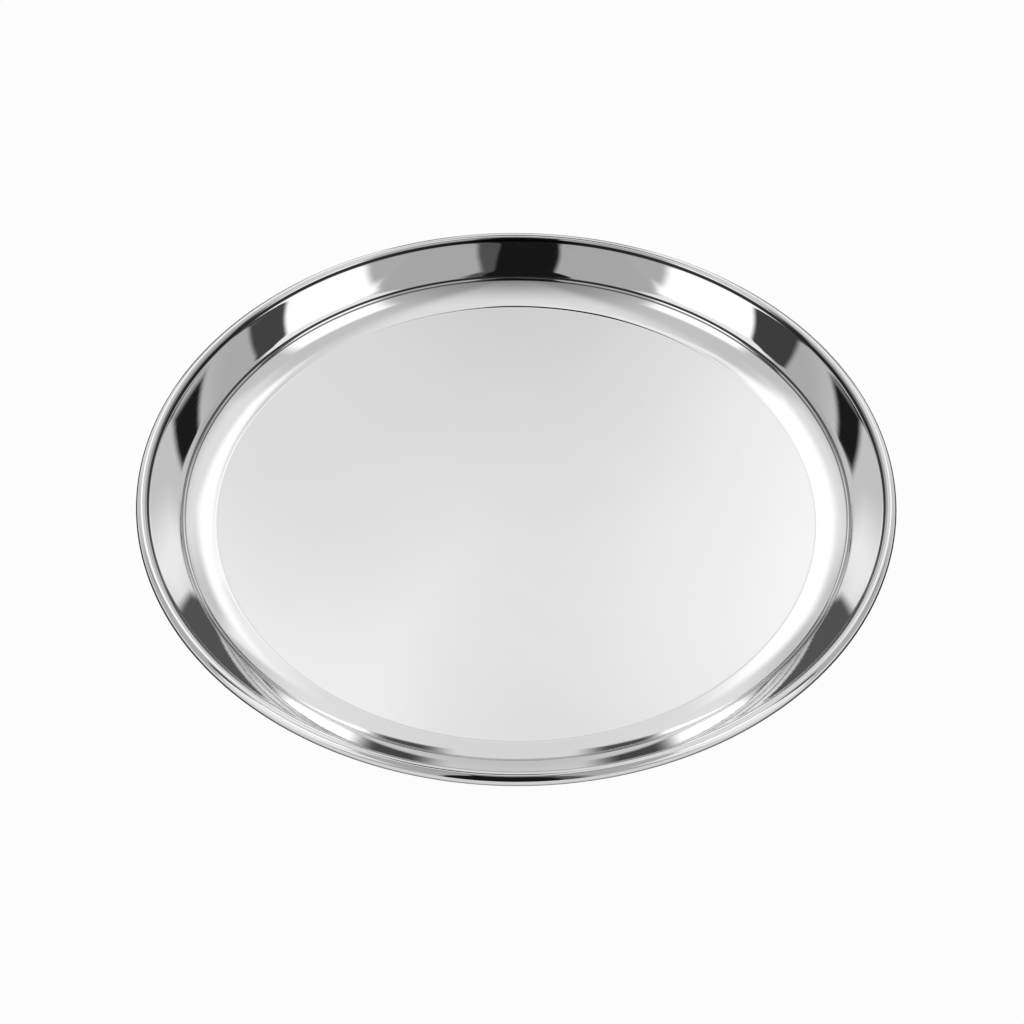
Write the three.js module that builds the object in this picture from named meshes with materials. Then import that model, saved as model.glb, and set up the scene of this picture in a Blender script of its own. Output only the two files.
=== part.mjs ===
// Steel dinner plate: one pressed sheet whose rolled rim closes round a ring of stiffening wire.
// Millimetres, +Z up. The origin is under the middle of the floor, on the surface the plate stands on.

import * as THREE from "three";

// Overall sizes
const PLATE_DIAMETER = 280; // over the rolled rim
const FLOOR_DIAMETER = 221; // the flat that food lies on, to the line where the cove starts
const SHEET_THICKNESS = 0.7;

// Cove: the dished band between the floor and the foot of the wall. Slopes are in degrees.
const FLOOR_BEND_RADIUS = 5;
const COVE_START_SLOPE = 13;
const COVE_END_SLOPE = 21.5;
const COVE_WIDTH = 10.5;
const COVE_LARGEST_SHARE = 0.65; // of the width that cove and wall have together

// Foot line: a short steep riser and a narrow ledge are pressed in where the cove hands over to the wall
const RISER_RADIUS = 0.9;
const RISER_SLOPE = 46;
const LEDGE_RADIUS = 2.2;
const LEDGE_SLOPE = 16;
const WALL_START_RADIUS = 1.5;
const WALL_START_SLOPE = 48;

// Wall: round at its foot, then one long shallow swell, with a neck that turns it up into the roll
const WALL_FOOT_RADIUS = 6;
const WALL_FOOT_SLOPE = 33;
const WALL_TOP_SLOPE = 28.5;
const NECK_RADIUS = 3;
const NECK_SLOPE = 52;

// Rim: wire, the room round it inside the roll, and the slope at which the rolled sheet ends
const WIRE_DIAMETER = 3;
const WIRE_CLEARANCE = 0.3;
const WIRE_JOINT_GAP = 0.6; // between the butted ends of the wire
const ROLL_END_SLOPE = -240;

// Facets
const ROUND_SEGMENTS = 80;
const WIRE_SECTION_QUARTER_SEGMENTS = 4; // an arc gets two sides for each of these
const FLOOR_BEND_STEPS = 2;
const COVE_STEPS = 5;
const FOOT_STEPS = 2;
const WALL_STEPS = 3;
const NECK_STEPS = 3;
const ROLL_RISE_STEPS = 3; // up to the crown
const ROLL_FALL_STEPS = 4; // from the crown to the widest point
const ROLL_TUCK_STEPS = 7; // from there to the edge of the sheet

// Slopes of any roll at its highest and its widest point
const CROWN_SLOPE = 0;
const WIDEST_POINT_SLOPE = -90;

const radians = THREE.MathUtils.degToRad;

// The middle surface of the sheet, followed from the centre of the floor out to the rolled edge.
// Each station holds its radius, its height and the slope of the sheet there.
class SheetPath {
  constructor(radius, height) {
    this.stations = [{ r: radius, z: height, slope: 0 }];
  }

  get end() {
    return this.stations[this.stations.length - 1];
  }

  straight(length) {
    const { r, z, slope } = this.end;
    this.stations.push({ r: r + length * Math.cos(slope), z: z + length * Math.sin(slope), slope });
  }

  // Turns the sheet to a new slope on an arc, and returns the centre of that arc.
  bend(bendRadius, newSlope, steps) {
    const { r, z, slope } = this.end;
    const side = Math.sign(newSlope - slope);
    const centre = {
      r: r - side * bendRadius * Math.sin(slope),
      z: z + side * bendRadius * Math.cos(slope),
    };
    for (let step = 1; step <= steps; step += 1) {
      const turned = THREE.MathUtils.lerp(slope, newSlope, step / steps);
      this.stations.push({
        r: centre.r + side * bendRadius * Math.sin(turned),
        z: centre.z - side * bendRadius * Math.cos(turned),
        slope: turned,
      });
    }
    return centre;
  }

  // One face of the sheet, a distance above its middle surface, or below it if negative.
  face(distance) {
    return this.stations.map(
      ({ r, z, slope }) => new THREE.Vector2(r - distance * Math.sin(slope), z + distance * Math.cos(slope)),
    );
  }
}

const halfSheet = SHEET_THICKNESS / 2;
const rollInnerRadius = WIRE_DIAMETER / 2 + WIRE_CLEARANCE;
const rollMiddleRadius = rollInnerRadius + halfSheet;

// How far a bend carries the sheet outwards
function bendReach(bendRadius, fromSlope, toSlope) {
  return bendRadius * Math.abs(Math.sin(toSlope) - Math.sin(fromSlope));
}

// The bend that takes the sheet from one slope to another over a given width
function bendRadiusOver(width, fromSlope, toSlope) {
  return width / bendReach(1, fromSlope, toSlope);
}

function layOutSheet() {
  const coveStart = radians(COVE_START_SLOPE);
  const coveEnd = radians(COVE_END_SLOPE);
  const riser = radians(RISER_SLOPE);
  const ledge = radians(LEDGE_SLOPE);
  const wallStart = radians(WALL_START_SLOPE);
  const wallFoot = radians(WALL_FOOT_SLOPE);
  const wallTop = radians(WALL_TOP_SLOPE);
  const neck = radians(NECK_SLOPE);

  // What the small bends and the roll take up of the width between the floor and the outside of the rim
  const footReach =
    bendReach(RISER_RADIUS, coveEnd, riser) +
    bendReach(LEDGE_RADIUS, riser, ledge) +
    bendReach(WALL_START_RADIUS, ledge, wallStart) +
    bendReach(WALL_FOOT_RADIUS, wallStart, wallFoot);
  const neckReach = bendReach(NECK_RADIUS, wallTop, neck);
  const rollReach = rollMiddleRadius * (1 + Math.sin(neck)) + halfSheet;
  const smallReach = bendReach(FLOOR_BEND_RADIUS, 0, coveStart) + footReach + neckReach + rollReach;

  // The cove is the fillet between floor and wall, so a narrow wall limits it. The wall's swell fills the rest.
  const freeWidth = (PLATE_DIAMETER - FLOOR_DIAMETER) / 2 - smallReach;
  const coveWidth = Math.min(COVE_WIDTH, COVE_LARGEST_SHARE * freeWidth);
  const wallWidth = freeWidth - coveWidth;

  const path = new SheetPath(0, halfSheet);
  path.straight(FLOOR_DIAMETER / 2);
  path.bend(FLOOR_BEND_RADIUS, coveStart, FLOOR_BEND_STEPS);
  path.bend(bendRadiusOver(coveWidth, coveStart, coveEnd), coveEnd, COVE_STEPS);
  path.bend(RISER_RADIUS, riser, FOOT_STEPS);
  path.bend(LEDGE_RADIUS, ledge, FOOT_STEPS);
  path.bend(WALL_START_RADIUS, wallStart, FOOT_STEPS);
  path.bend(WALL_FOOT_RADIUS, wallFoot, FOOT_STEPS);
  path.bend(bendRadiusOver(wallWidth, wallFoot, wallTop), wallTop, WALL_STEPS);
  path.bend(NECK_RADIUS, neck, NECK_STEPS);

  // The roll has stations at its crown and at its widest point, so that it keeps its full height and width
  const rollCentre = path.bend(rollMiddleRadius, radians(CROWN_SLOPE), ROLL_RISE_STEPS);
  path.bend(rollMiddleRadius, radians(WIDEST_POINT_SLOPE), ROLL_FALL_STEPS);
  path.bend(rollMiddleRadius, radians(ROLL_END_SLOPE), ROLL_TUCK_STEPS);
  return { path, rollCentre };
}

// Pressed plate: floor, cove, wall and rolled rim are one sheet, turned about the plate's axis
function makePressedPlate(path) {
  const outline = [...path.face(-halfSheet), ...path.face(halfSheet).reverse()];
  const geometry = new THREE.LatheGeometry(outline, ROUND_SEGMENTS);
  const material = new THREE.MeshStandardMaterial({ color: 0xd2d3d5, metalness: 1, roughness: 0.06 });
  const plate = new THREE.Mesh(geometry, material);
  plate.name = "pressed_plate";
  plate.rotation.x = Math.PI / 2; // the lathe turns about Y
  return plate;
}

// Rim wire: a round rod bent to a ring whose two ends butt together behind the plate
class WireRing extends THREE.Curve {
  constructor(radius, jointGap) {
    super();
    this.radius = radius;
    this.jointAngle = jointGap / radius;
  }

  getPoint(share, target = new THREE.Vector3()) {
    const angle = Math.PI / 2 + this.jointAngle / 2 + share * (2 * Math.PI - this.jointAngle);
    return target.set(this.radius * Math.cos(angle), this.radius * Math.sin(angle), 0);
  }
}

function makeRimWire(rollCentre) {
  const section = new THREE.Shape();
  section.absarc(0, 0, WIRE_DIAMETER / 2, 0, 2 * Math.PI);
  const geometry = new THREE.ExtrudeGeometry(section, {
    extrudePath: new WireRing(rollCentre.r, WIRE_JOINT_GAP),
    steps: ROUND_SEGMENTS,
    curveSegments: WIRE_SECTION_QUARTER_SEGMENTS,
    bevelEnabled: false,
  });
  const material = new THREE.MeshStandardMaterial({ color: 0x9b9da0, metalness: 1, roughness: 0.35 });
  const wire = new THREE.Mesh(geometry, material);
  wire.name = "rim_wire";
  wire.position.z = rollCentre.z;
  return wire;
}

const { path, rollCentre } = layOutSheet();
const dinnerPlate = new THREE.Group();
dinnerPlate.add(makePressedPlate(path), makeRimWire(rollCentre));

export default dinnerPlate;
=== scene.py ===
"""Steel dinner plate: a mirror-polished pressed sheet with a wired rim, on a pale studio floor."""
import math
from typing import NamedTuple

import bmesh
import bpy
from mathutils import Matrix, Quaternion, Vector


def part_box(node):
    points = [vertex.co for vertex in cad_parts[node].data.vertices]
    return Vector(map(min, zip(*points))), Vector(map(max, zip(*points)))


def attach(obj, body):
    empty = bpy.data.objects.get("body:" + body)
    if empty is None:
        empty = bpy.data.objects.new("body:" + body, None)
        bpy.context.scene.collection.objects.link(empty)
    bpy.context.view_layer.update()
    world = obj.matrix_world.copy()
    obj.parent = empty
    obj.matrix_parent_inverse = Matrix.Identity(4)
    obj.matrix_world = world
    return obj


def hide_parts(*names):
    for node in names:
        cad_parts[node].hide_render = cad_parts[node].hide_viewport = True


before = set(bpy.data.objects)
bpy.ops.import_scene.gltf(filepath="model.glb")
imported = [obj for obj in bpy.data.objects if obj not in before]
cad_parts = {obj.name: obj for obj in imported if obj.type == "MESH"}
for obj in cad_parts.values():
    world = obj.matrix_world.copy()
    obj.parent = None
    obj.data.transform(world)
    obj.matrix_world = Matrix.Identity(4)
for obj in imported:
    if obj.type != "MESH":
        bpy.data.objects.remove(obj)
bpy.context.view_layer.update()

MM = 0.001

# Plate sizes. The largest diameter comes from the frame, and slopes are in degrees.
PLATE_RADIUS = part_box("pressed_plate")[1].x
FLOOR_RADIUS = 110.5 * MM
SHEET_THICKNESS = 0.7 * MM
FLOOR_BEND_RADIUS = 5 * MM
COVE_START_SLOPE = 13
COVE_END_SLOPE = 21.5
COVE_WIDTH = 10.5 * MM
RISER_RADIUS = 0.9 * MM
RISER_SLOPE = 46
LEDGE_RADIUS = 2.2 * MM
LEDGE_SLOPE = 16
WALL_START_RADIUS = 1.5 * MM
WALL_START_SLOPE = 48
WALL_FOOT_RADIUS = 6 * MM
WALL_FOOT_SLOPE = 33
WALL_TOP_SLOPE = 28.5
NECK_RADIUS = 3 * MM
NECK_SLOPE = 52
WIRE_RADIUS = 1.5 * MM
WIRE_CLEARANCE = 0.3 * MM
WIRE_JOINT_GAP = 0.6 * MM
ROLL_END_SLOPE = -240

# Painted shade along the three creases: half the width of each line, how dark it is behind, and the
# share of that which is left in front
FOOT_CREASE = 0.28 * MM
FOOT_CREASE_DARKNESS = 0.8
FOOT_CREASE_FRONT_SHARE = 0.3
WALL_CREASE = 0.45 * MM
WALL_CREASE_DARKNESS = 0.97
WALL_CREASE_FRONT_SHARE = 0.4
NECK_CREASE = 0.62 * MM
NECK_CREASE_DARKNESS = 0.98
NECK_CREASE_FRONT_SHARE = 0.9
CREASE_SHADE_FADE = 90 * MM  # from the middle of the plate back to where the painted shade is in full
CREASE_SHADE_EDGE = 0.3  # share of a line's half width over which it fades, both inwards and outwards
CREASE_SHADE_COLOUR = (0.012, 0.012, 0.012, 1)
CREASE_SHADE_ROUGHNESS = 0.2

# Shoulder: the inner side of the roll, with painted shade that makes it greyer at the left and right of the
# plate
SHOULDER_EDGE = 0.5 * MM
SHOULDER_SHADE_COLOUR = (0.4, 0.4, 0.4, 1)
SHOULDER_FADE = 60 * MM  # from the middle of the plate to where the painted grey starts to go, front and back

# Polish of the sheet: spin marks run round it, blotches lie anywhere. A spread is the pair of noise
# values that count as none and as full.
STEEL_COLOURS = ((0.655, 0.655, 0.66, 1), (0.668, 0.668, 0.672, 1))
STEEL_COLOUR_SPREAD = (0.3, 0.7)
BLOTCHES_PER_METRE = 28.0
BLOTCH_ROUGHNESS = (0.012, 0.026)
BLOTCH_SPREAD = (0.35, 0.65)
SPIN_MARKS_PER_METRE = 2200.0
SPIN_MARKS_PER_RADIAN = 5.0
SPIN_MARK_ROUGHNESS = 0.02
SPIN_MARK_SPREAD = (0.4, 0.8)
SPIN_MARK_DEPTH = 0.2 * MM
SPIN_MARK_STRENGTH = 0.008

# Drawn wire
WIRE_COLOURS = ((0.42, 0.42, 0.43, 1), (0.58, 0.58, 0.59, 1))
WIRE_GRIME_PER_METRE = 900.0
WIRE_GRIME_SPREAD = (0.3, 0.7)
WIRE_ROUGHNESS = (0.3, 0.45)

# Mesh density
ROUND_SEGMENTS = 288
ON_AXIS = 1e-9  # a ring with a smaller radius is one vertex
FLOOR_RINGS = 20
FLOOR_BEND_STEPS = 10
COVE_STEPS = 20
FOOT_STEPS = 8
WALL_STEPS = 20
NECK_STEPS = 10
ROLL_STEPS = 44
WIRE_SECTION_POINTS = 20
WIRE_STEPS = 240

# Camera, in the place of the photograph's
CAMERA_DISTANCE = 2.0
CAMERA_ELEVATION = 46.38
CAMERA_AIM = Vector((-1.55 * MM, 2.0 * MM, SHEET_THICKNESS))
CAMERA_ROLL = 0.23
LENS = 190.05

# Floor
WHITE_LIGHT = 1.0  # plain white to the camera, in the floor and past it
FLOOR_SIZE = 8.0
FLOOR_DROP = 0.05 * MM
FLOOR_PALENESS = 0.6
FLOOR_SELF_LIGHT = 0.97  # share of plain white that the camera sees in the floor
FLOOR_LIGHT_IN_METAL = 0.95
SHADOW_RADIUS = 183 * MM  # the floor's shade round the plate, which only the metal shows
SHADOW_SHIFT = 41 * MM  # away from the camera
SHADOW_EDGE = 8 * MM
SHADOW_LIGHT = 0.04


# Shape of the sheet

class Station(NamedTuple):
    """A point of the sheet's middle surface: its radius, height and slope in radians."""
    r: float
    z: float
    slope: float


class SheetPath:
    """The sheet's middle surface, followed from the plate's axis out to the rolled edge."""

    def __init__(self, height):
        self.stations = [Station(0.0, height, 0.0)]

    @property
    def end(self):
        return self.stations[-1]

    def straight(self, length, steps):
        """Goes straight on, with its rings closer together near both ends."""
        start = self.end
        for step in range(1, steps + 1):
            share = 0.5 - 0.5 * math.cos(math.pi * step / steps)
            self.stations.append(Station(
                start.r + share * length * math.cos(start.slope),
                start.z + share * length * math.sin(start.slope),
                start.slope))

    def bend(self, radius, new_slope_degrees, steps):
        """Turns to a new slope on an arc, and returns the arc's centre."""
        start = self.end
        new_slope = math.radians(new_slope_degrees)
        side = math.copysign(radius, new_slope - start.slope)
        centre_r = start.r - side * math.sin(start.slope)
        centre_z = start.z + side * math.cos(start.slope)
        for step in range(1, steps + 1):
            slope = start.slope + (new_slope - start.slope) * step / steps
            self.stations.append(Station(
                centre_r + side * math.sin(slope), centre_z - side * math.cos(slope), slope))
        return centre_r, centre_z

    def face(self, distance):
        """Radius and height along one face of the sheet, a distance above its middle surface."""
        return [(s.r - distance * math.sin(s.slope), s.z + distance * math.cos(s.slope))
                for s in self.stations]


def bend_reach(radius, from_degrees, to_degrees):
    """How far a bend carries the sheet outwards."""
    return radius * abs(math.sin(math.radians(to_degrees)) - math.sin(math.radians(from_degrees)))


class Crease(NamedTuple):
    """A sharp inner corner of the top face, where shade is painted as a dark line."""
    r: float
    z: float
    half_width: float
    darkness: float
    front_share: float


def crease_at(station, half_width, darkness, front_share):
    """A crease on the top face of the sheet at one of its stations."""
    half_sheet = SHEET_THICKNESS / 2
    return Crease(station.r - half_sheet * math.sin(station.slope),
                  station.z + half_sheet * math.cos(station.slope), half_width, darkness, front_share)


def lay_out_sheet():
    """The sheet's path, the centre of the rolled rim and the creases of the top face."""
    half_sheet = SHEET_THICKNESS / 2
    roll_radius = WIRE_RADIUS + WIRE_CLEARANCE + half_sheet
    roll_reach = roll_radius * (1 + math.sin(math.radians(NECK_SLOPE))) + half_sheet
    neck_reach = bend_reach(NECK_RADIUS, WALL_TOP_SLOPE, NECK_SLOPE)
    cove_radius = COVE_WIDTH / bend_reach(1, COVE_START_SLOPE, COVE_END_SLOPE)

    path = SheetPath(half_sheet)
    path.straight(FLOOR_RADIUS, FLOOR_RINGS)
    path.bend(FLOOR_BEND_RADIUS, COVE_START_SLOPE, FLOOR_BEND_STEPS)
    path.bend(cove_radius, COVE_END_SLOPE, COVE_STEPS)
    path.bend(RISER_RADIUS, RISER_SLOPE, FOOT_STEPS)
    foot_crease = crease_at(path.end, FOOT_CREASE, FOOT_CREASE_DARKNESS, FOOT_CREASE_FRONT_SHARE)
    path.bend(LEDGE_RADIUS, LEDGE_SLOPE, FOOT_STEPS)
    wall_crease = crease_at(path.end, WALL_CREASE, WALL_CREASE_DARKNESS, WALL_CREASE_FRONT_SHARE)
    path.bend(WALL_START_RADIUS, WALL_START_SLOPE, FOOT_STEPS)
    path.bend(WALL_FOOT_RADIUS, WALL_FOOT_SLOPE, FOOT_STEPS)
    wall_width = PLATE_RADIUS - roll_reach - neck_reach - path.end.r
    wall_radius = wall_width / bend_reach(1, WALL_FOOT_SLOPE, WALL_TOP_SLOPE)
    path.bend(wall_radius, WALL_TOP_SLOPE, WALL_STEPS)
    path.bend(NECK_RADIUS, NECK_SLOPE, NECK_STEPS)
    neck_crease = crease_at(path.end, NECK_CREASE, NECK_CREASE_DARKNESS, NECK_CREASE_FRONT_SHARE)
    roll_centre = path.bend(roll_radius, ROLL_END_SLOPE, ROLL_STEPS)
    return path, roll_centre, (foot_crease, wall_crease, neck_crease)


# Meshes

def new_piece(name, build, material, replaced_node):
    """Makes a mesh object from a bmesh and ties it to the frame."""
    mesh = bpy.data.meshes.new(name)
    build.to_mesh(mesh)
    build.free()
    mesh.materials.append(material)
    piece = bpy.data.objects.new(name, mesh)
    bpy.context.scene.collection.objects.link(piece)
    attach(piece, "root")
    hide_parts(replaced_node)


def add_ring(build, radius, height):
    """A ring of vertices round the plate's axis, or the one vertex on it."""
    if radius < ON_AXIS:
        return [build.verts.new((0, 0, height))]
    turn = 2 * math.pi / ROUND_SEGMENTS
    return [build.verts.new((radius * math.cos(turn * k), radius * math.sin(turn * k), height))
            for k in range(ROUND_SEGMENTS)]


def join_rings(build, inner, outer):
    """Smooth faces between two rings, one of which may be a single vertex."""
    count = max(len(inner), len(outer))
    for k in range(count):
        after = (k + 1) % count
        corners = [inner[k % len(inner)], outer[k % len(outer)],
                   outer[after % len(outer)], inner[after % len(inner)]]
        build.faces.new(dict.fromkeys(corners)).smooth = True


def sharpen_ring(build, ring):
    """Makes the edges of a closed ring of vertices sharp."""
    for k, vertex in enumerate(ring):
        build.edges.get((vertex, ring[(k + 1) % len(ring)])).smooth = False


def make_pressed_plate(path, material):
    """The whole sheet turned about the plate's axis: top face, sheared edge of the roll, underside."""
    top = path.face(SHEET_THICKNESS / 2)
    underside = path.face(-SHEET_THICKNESS / 2)
    build = bmesh.new()
    rings = [add_ring(build, r, z) for r, z in top + underside[::-1]]
    for ring, next_ring in zip(rings, rings[1:]):
        join_rings(build, ring, next_ring)

    # The sheared edge keeps its two sharp corners
    sharpen_ring(build, rings[len(top) - 1])
    sharpen_ring(build, rings[len(top)])
    bmesh.ops.recalc_face_normals(build, faces=build.faces)
    new_piece("plate_sheet", build, material, "pressed_plate")


def make_rim_wire(ring_radius, height, material):
    """A round rod bent to a ring, with its two square ends butted behind the plate."""
    joint_angle = WIRE_JOINT_GAP / ring_radius
    build = bmesh.new()
    sections = []
    for step in range(WIRE_STEPS + 1):
        angle = math.pi / 2 + joint_angle / 2 + (2 * math.pi - joint_angle) * step / WIRE_STEPS
        section = []
        for k in range(WIRE_SECTION_POINTS):
            turn = 2 * math.pi * k / WIRE_SECTION_POINTS
            radius = ring_radius + WIRE_RADIUS * math.cos(turn)
            section.append(build.verts.new((
                radius * math.cos(angle), radius * math.sin(angle),
                height + WIRE_RADIUS * math.sin(turn))))
        sections.append(section)
    for section, next_section in zip(sections, sections[1:]):
        join_rings(build, section, next_section)
    for end in (sections[0], sections[-1]):
        build.faces.new(end)
        sharpen_ring(build, end)
    bmesh.ops.recalc_face_normals(build, faces=build.faces)
    new_piece("rim_wire_ring", build, material, "rim_wire")


# Node helpers

class NodeMaker:
    """Adds nodes to a tree. A socket or a plain number can be given for any input."""

    def __init__(self, tree):
        self.tree = tree
        tree.nodes.clear()

    def add(self, kind, inputs=(), **settings):
        node = self.tree.nodes.new(kind)
        for name, value in settings.items():
            setattr(node, name, value)
        for key, value in dict(inputs).items():
            self.set(node.inputs[key], value)
        return node

    def set(self, socket, value):
        if isinstance(value, bpy.types.NodeSocket):
            self.tree.links.new(value, socket)
        else:
            socket.default_value = value

    def math(self, operation, *values):
        return self.add("ShaderNodeMath", enumerate(values), operation=operation).outputs[0]

    def ramp(self, value, from_low, from_high, to_low=0.0, to_high=1.0, curve="SMOOTHSTEP"):
        keys = ("Value", "From Min", "From Max", "To Min", "To Max")
        inputs = zip(keys, (value, from_low, from_high, to_low, to_high))
        return self.add("ShaderNodeMapRange", inputs, interpolation_type=curve).outputs[0]

    def mix(self, share, low, high):
        inputs = {"Factor": share, "A": low, "B": high}
        return self.add("ShaderNodeMix", inputs, data_type="FLOAT").outputs["Result"]

    def mix_colour(self, share, low, high):
        inputs = {"Factor": share, "A": low, "B": high}
        return self.add("ShaderNodeMix", inputs, data_type="RGBA").outputs["Result"]

    def noise(self, vector, scale, detail, roughness):
        inputs = {"Vector": vector, "Scale": scale, "Detail": detail, "Roughness": roughness}
        return self.add("ShaderNodeTexNoise", inputs).outputs["Fac"]


def new_material(name):
    material = bpy.data.materials.new(name)
    material.use_nodes = True
    return material, NodeMaker(material.node_tree)


# Materials

def painted_crease_shade(nodes, axes, radius, creases):
    """How much painted shade covers the sheet: dark lines along its creases, fainter in front."""
    crease_shade = None
    for crease in creases:
        beside = nodes.math("SUBTRACT", radius, crease.r)
        above = nodes.math("SUBTRACT", axes["Z"], crease.z)
        distance = nodes.math("SQRT", nodes.math("MULTIPLY_ADD", beside, beside,
                                                 nodes.math("POWER", above, 2.0)))
        # The painted shade is darker behind the plate than in front
        darkness = nodes.ramp(axes["Y"], -CREASE_SHADE_FADE, CREASE_SHADE_FADE,
                              crease.darkness * crease.front_share, crease.darkness)
        line = nodes.ramp(distance, (1 + CREASE_SHADE_EDGE) * crease.half_width,
                          (1 - CREASE_SHADE_EDGE) * crease.half_width, 0.0, darkness)
        crease_shade = line if crease_shade is None else nodes.math("MAXIMUM", crease_shade, line)
    return crease_shade


def shoulder_shade_share(nodes, axes, radius, neck_radius, rim_radius):
    """Where shade is painted on the roll's inner side, at the left and right of the plate."""
    past_neck = nodes.ramp(radius, neck_radius - SHOULDER_EDGE, neck_radius + SHOULDER_EDGE)
    before_crown = nodes.ramp(radius, rim_radius + SHOULDER_EDGE, rim_radius - SHOULDER_EDGE)
    at_sides = nodes.ramp(nodes.math("ABSOLUTE", axes["Y"]), neck_radius, SHOULDER_FADE)
    return nodes.math("MULTIPLY", nodes.math("MULTIPLY", past_neck, before_crown), at_sides)


def spin_mark_noise(nodes, axes, radius):
    """Noise drawn out round the plate's axis."""
    round_angle = nodes.math("ARCTAN2", axes["Y"], axes["X"])
    polar = nodes.add("ShaderNodeCombineXYZ", {
        "X": nodes.math("MULTIPLY", radius, SPIN_MARKS_PER_METRE),
        "Y": nodes.math("MULTIPLY", round_angle, SPIN_MARKS_PER_RADIAN),
        "Z": nodes.math("MULTIPLY", axes["Z"], SPIN_MARKS_PER_METRE)}).outputs[0]
    return nodes.noise(polar, scale=1.0, detail=3.0, roughness=0.6)


def make_polished_steel(creases, rim_radius):
    """Mirror-polished stainless sheet: faint spin marks, uneven polish, painted shade in its creases and a
    painted greyer shoulder at the sides.
    """
    material, nodes = new_material("polished_steel")
    place = nodes.add("ShaderNodeTexCoord").outputs["Object"]
    axes = nodes.add("ShaderNodeSeparateXYZ", {"Vector": place}).outputs
    radius = nodes.math("SQRT", nodes.math("ADD", nodes.math("POWER", axes["X"], 2.0),
                                           nodes.math("POWER", axes["Y"], 2.0)))
    spin_marks = spin_mark_noise(nodes, axes, radius)
    blotches = nodes.noise(place, scale=BLOTCHES_PER_METRE, detail=3.0, roughness=0.55)
    # Painted shade: dark lines along the creases, darker behind the plate
    crease_shade = painted_crease_shade(nodes, axes, radius, creases)
    # Painted shade: the roll's inner shoulder greyer at the left and right of the plate
    shoulder_shade = shoulder_shade_share(nodes, axes, radius, creases[-1].r, rim_radius)

    shade = nodes.ramp(blotches, *STEEL_COLOUR_SPREAD, curve="LINEAR")
    colour = nodes.mix_colour(shade, *STEEL_COLOURS)
    # The painted shoulder shade turns the steel grey there
    colour = nodes.mix_colour(shoulder_shade, colour, SHOULDER_SHADE_COLOUR)
    # The painted crease shade darkens the colour and roughens the polish
    colour = nodes.mix_colour(crease_shade, colour, CREASE_SHADE_COLOUR)
    polish = nodes.math("ADD", nodes.ramp(blotches, *BLOTCH_SPREAD, *BLOTCH_ROUGHNESS),
                        nodes.ramp(spin_marks, *SPIN_MARK_SPREAD, 0.0, SPIN_MARK_ROUGHNESS))
    roughness = nodes.mix(crease_shade, polish, CREASE_SHADE_ROUGHNESS)
    bump = nodes.add("ShaderNodeBump", {
        "Strength": SPIN_MARK_STRENGTH, "Distance": SPIN_MARK_DEPTH, "Height": spin_marks})
    shader = nodes.add("ShaderNodeBsdfPrincipled", {
        "Metallic": 1.0, "Roughness": roughness, "Base Color": colour, "Normal": bump.outputs["Normal"]})
    nodes.add("ShaderNodeOutputMaterial", {"Surface": shader.outputs[0]})
    return material


def make_drawn_wire():
    """Plain drawn steel wire, greyer than the sheet, with fine uneven grime."""
    material, nodes = new_material("drawn_wire")
    place = nodes.add("ShaderNodeTexCoord").outputs["Object"]
    grime = nodes.noise(place, scale=WIRE_GRIME_PER_METRE, detail=4.0, roughness=0.6)
    colour = nodes.mix_colour(grime, *WIRE_COLOURS)
    roughness = nodes.ramp(grime, *WIRE_GRIME_SPREAD, *WIRE_ROUGHNESS)
    shader = nodes.add("ShaderNodeBsdfPrincipled", {
        "Metallic": 1.0, "Roughness": roughness, "Base Color": colour})
    nodes.add("ShaderNodeOutputMaterial", {"Surface": shader.outputs[0]})
    return material


def make_floor_material():
    """Pale matt floor: nearly plain white to the camera, and shaded round the plate in the metal."""
    material, nodes = new_material("studio_floor")
    rays = nodes.add("ShaderNodeLightPath").outputs
    place = nodes.add("ShaderNodeTexCoord").outputs["Object"]
    from_shade = nodes.add("ShaderNodeVectorMath", {0: place, 1: (0, SHADOW_SHIFT, 0)},
                           operation="DISTANCE").outputs["Value"]
    in_metal = nodes.ramp(from_shade, SHADOW_RADIUS - SHADOW_EDGE, SHADOW_RADIUS + SHADOW_EDGE,
                          SHADOW_LIGHT, FLOOR_LIGHT_IN_METAL)
    light = nodes.mix(rays["Is Glossy Ray"], WHITE_LIGHT, in_metal)
    matt = nodes.add("ShaderNodeBsdfDiffuse", {"Color": (FLOOR_PALENESS,) * 3 + (1,)})
    white = nodes.add("ShaderNodeEmission", {"Color": (1, 1, 1, 1), "Strength": light})
    share = nodes.math("MULTIPLY_ADD", rays["Is Camera Ray"], FLOOR_SELF_LIGHT, rays["Is Glossy Ray"])
    both = nodes.add("ShaderNodeMixShader", [(0, share), (1, matt.outputs[0]), (2, white.outputs[0])])
    nodes.add("ShaderNodeOutputMaterial", {"Surface": both.outputs[0]})
    return material


# Studio

class Panel(NamedTuple):
    """A soft-edged panel of the studio, as seen from the plate. Angles are in degrees.

    Corners are pairs of azimuth, counted from straight behind the plate, and elevation, and they go
    anticlockwise. A panel on the side "both" stands on the left too, and one on the "left" counts
    its azimuths to the left. A panel covers those that come before it in the list.
    """
    name: str
    side: str
    corners: tuple
    edge: float
    light: float


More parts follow.
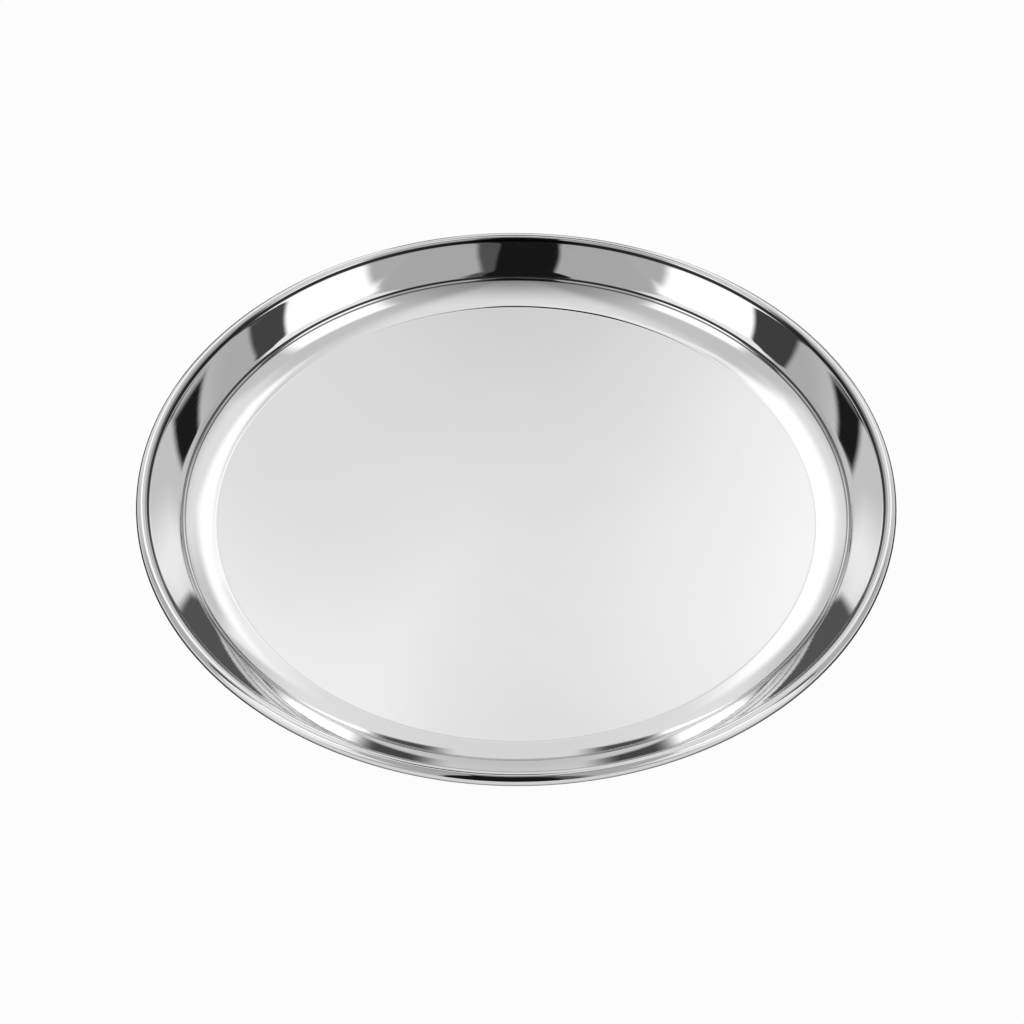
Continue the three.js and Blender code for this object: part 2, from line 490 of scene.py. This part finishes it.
TENT_LIGHT = 0.6
PANELS = (
    Panel("front_wall", "both", ((-70, -20), (58, -20), (64, 75), (-70, 75)), 8, 0.8),
    Panel("ceiling", "both", ((-200, 58), (29, 58), (29, 120), (-200, 120)), 9, 1.08),
    Panel("back_panel", "both", ((-20, -6), (13, -6), (16, 66), (-20, 66)), 4, 1.15),
    Panel("back_band", "both", ((-20, 36), (14, 36), (14, 44.5), (-20, 44.5)), 3, 0.8),
    Panel("back_top", "both", ((-20, 49), (14, 49), (14, 66), (-20, 66)), 1.5, 1.02),
    Panel("left_dim", "left", ((2, 38), (9, 38), (9, 47.5), (2, 47.5)), 2, 1.07),
    Panel("left_glow", "left", ((3, 48.8), (14, 48.8), (14, 58), (3, 58)), 3.5, 1.6),
    Panel("strip_fade", "both", ((25, 29), (31, 31), (44, 51), (40, 58), (30, 56)), 3.5, 1.1),
    Panel("left_strip", "left", ((10, 21.5), (20, 26.5), (29, 38), (38, 54), (30, 60), (6, 48)), 3, 1.6),
    Panel("left_arch", "left", ((19, 66), (30, 60), (30.5, 62), (19, 68.3)), 1.5, 1.35),
    Panel("left_arch_top", "left", ((5, 68.8), (19, 66), (19, 68.3), (5, 71)), 1.5, 1.25),
    Panel("right_glow", "right", ((4.6, 34), (20, 34), (22, 51.5), (5, 51.5), (3.2, 47.5)), 3.2, 1.45),
    Panel("right_haze", "right", ((10, 21), (19, 21), (19, 34), (10, 34)), 2, 1.27),
    Panel("right_strip", "right",
          ((15, 24.5), (20, 28.5), (29, 39), (33.5, 54), (31, 60), (21, 42)), 2.5, 1.6),
    Panel("zenith", "both", ((-400, 80), (400, 80), (400, 130), (-400, 130)), 9, 0.32),
    Panel("ceiling_slot", "left", ((-2, 50), (3.5, 50), (13, 66.5), (-3, 66.5)), 1.2, 0.02),
    Panel("rear_wall", "both", ((118, -20), (260, -20), (260, 77.5), (118, 77.5)), 2, 0.57),
    Panel("softbox_skirt", "both", ((108, -20), (150, 30), (127.5, 52), (114.5, 64), (86, 52)), 3, 1.2),
    Panel("softbox", "both", ((92, 48), (119, 48), (114.5, 64), (86, 52)), 2.5, 1.6),
    Panel("softbox_top", "both", ((86, 50), (116, 62.5), (101, 69.5), (78, 58)), 1.5, 1.6),
    Panel("nose_left", "left", ((50, 62), (60, 60), (66, 73.5), (51, 73.5)), 1.5, 1.55),
    Panel("nose_right", "right", ((45.5, 62), (58, 60), (66, 73.5), (46, 73.5)), 1.5, 1.55),
    Panel("tripod", "right", ((161.5, -20), (230, -20), (230, 80), (161.5, 80)), 3, 0.115),
    Panel("tripod_head", "right", ((162, 70), (230, 70), (230, 80), (150, 80)), 1.5, 0.115),
    Panel("camera_right", "right", ((168, -20), (230, -20), (230, 81), (168, 81)), 1.2, 0.012),
    Panel("camera_left", "left", ((161.5, -20), (230, -20), (230, 79), (161.5, 79)), 1.2, 0.012),
    Panel("camera_head", "left", ((161.5, 69), (230, 69), (230, 80), (148, 80)), 1.2, 0.012),
    Panel("right_flag", "right",
          ((79.5, 44), (88, 34.5), (93, 37), (87.8, 50.5), (81, 60), (72.5, 53.5)), 1, 0.08),
    Panel("left_flag", "left",
          ((77.5, 42.5), (87, 34), (92, 37), (86, 50.8), (79, 59.5), (68.5, 51.7)), 1, 0.07),
    Panel("right_post", "right", ((49, 26), (57.5, 30.5), (62, 44.5), (52, 37)), 1, 0.015),
    Panel("left_post", "left", ((48.5, 26), (56.5, 31), (61.5, 45), (52, 38)), 1, 0.015),
    Panel("low_card", "both", ((24, 8), (40, 8), (40, 21), (24, 21)), 6, 1.22),
    Panel("back_low", "both", ((-20, -20), (8, -20), (8, 27), (-20, 27)), 8, 0.98),
    Panel("low_gap", "both", ((12, -20), (28, -20), (27.5, 8.5), (22.5, 13), (17, 11), (12, 2)), 1.2, 0.12),
    Panel("low_strip", "both", ((7, -10), (12.5, -10), (12.5, 11.5), (7, 11.5)), 1, 2.0),
    Panel("low_bar", "both", ((3.5, -10), (7, -10), (7, 11.5), (3.5, 11.5)), 1, 0.1),
)


def panel_share(nodes, panel, azimuth, elevation):
    """How far a direction lies inside a panel: 1 within its edges, 0 outside, soft between."""
    depth = None
    for start, end in zip(panel.corners, panel.corners[1:] + panel.corners[:1]):
        along = (Vector(end) - Vector(start)).normalized()
        offset = nodes.math("MULTIPLY_ADD", elevation, along.x, along.y * start[0] - along.x * start[1])
        distance = nodes.math("MULTIPLY_ADD", azimuth, -along.y, offset)
        depth = distance if depth is None else nodes.math("MINIMUM", depth, distance)
    return nodes.ramp(depth, -panel.edge, panel.edge)


def make_studio_world():
    """Surrounds the plate with the panels, which light it and show in its polish."""
    world = bpy.data.worlds.new("studio")
    world.use_nodes = True
    bpy.context.scene.world = world
    nodes = NodeMaker(world.node_tree)
    direction = nodes.add("ShaderNodeTexCoord").outputs["Generated"]
    axes = nodes.add("ShaderNodeSeparateXYZ", {"Vector": direction}).outputs
    azimuth = nodes.math("DEGREES", nodes.math("ARCTAN2", axes["X"], axes["Y"]))
    elevation = nodes.math("DEGREES", nodes.math("ARCSINE", axes["Z"]))
    azimuths = {"right": azimuth, "left": nodes.math("MULTIPLY", azimuth, -1.0),
                "both": nodes.math("ABSOLUTE", azimuth)}

    light = TENT_LIGHT
    for panel in PANELS:
        share = panel_share(nodes, panel, azimuths[panel.side], elevation)
        light = nodes.mix(share, light, panel.light)

    camera_ray = nodes.add("ShaderNodeLightPath").outputs["Is Camera Ray"]
    shown = nodes.mix(camera_ray, light, WHITE_LIGHT)
    background = nodes.add("ShaderNodeBackground", {"Color": shown, "Strength": 1.0})
    nodes.add("ShaderNodeOutputWorld", {"Surface": background.outputs[0]})


def make_floor():
    """A flat square just under the plate."""
    half = FLOOR_SIZE / 2
    mesh = bpy.data.meshes.new("studio_floor")
    corners = [(x, y, -FLOOR_DROP) for x, y in ((-half, -half), (half, -half), (half, half), (-half, half))]
    mesh.from_pydata(corners, [], [(0, 1, 2, 3)])
    mesh.materials.append(make_floor_material())
    floor = bpy.data.objects.new("studio_floor", mesh)
    bpy.context.scene.collection.objects.link(floor)


def make_camera():
    """Looks down at the plate from in front, rolled a little."""
    elevation = math.radians(CAMERA_ELEVATION)
    data = bpy.data.cameras.new("camera")
    data.lens = LENS
    camera = bpy.data.objects.new("camera", data)
    place = Vector((0, -math.cos(elevation), math.sin(elevation))) * CAMERA_DISTANCE
    camera.location = place + Vector((0, 0, SHEET_THICKNESS))
    view = (CAMERA_AIM - camera.location).to_track_quat("-Z", "Y")
    roll = Quaternion((0, 0, 1), math.radians(CAMERA_ROLL))
    camera.rotation_euler = (view @ roll).to_euler()
    bpy.context.scene.collection.objects.link(camera)
    bpy.context.scene.camera = camera


sheet_path, (rim_radius, rim_height), creases = lay_out_sheet()
make_pressed_plate(sheet_path, make_polished_steel(creases, rim_radius))
make_rim_wire(rim_radius, rim_height, make_drawn_wire())
make_floor()
make_studio_world()
make_camera()
bpy.context.scene.view_settings.view_transform = "Standard"
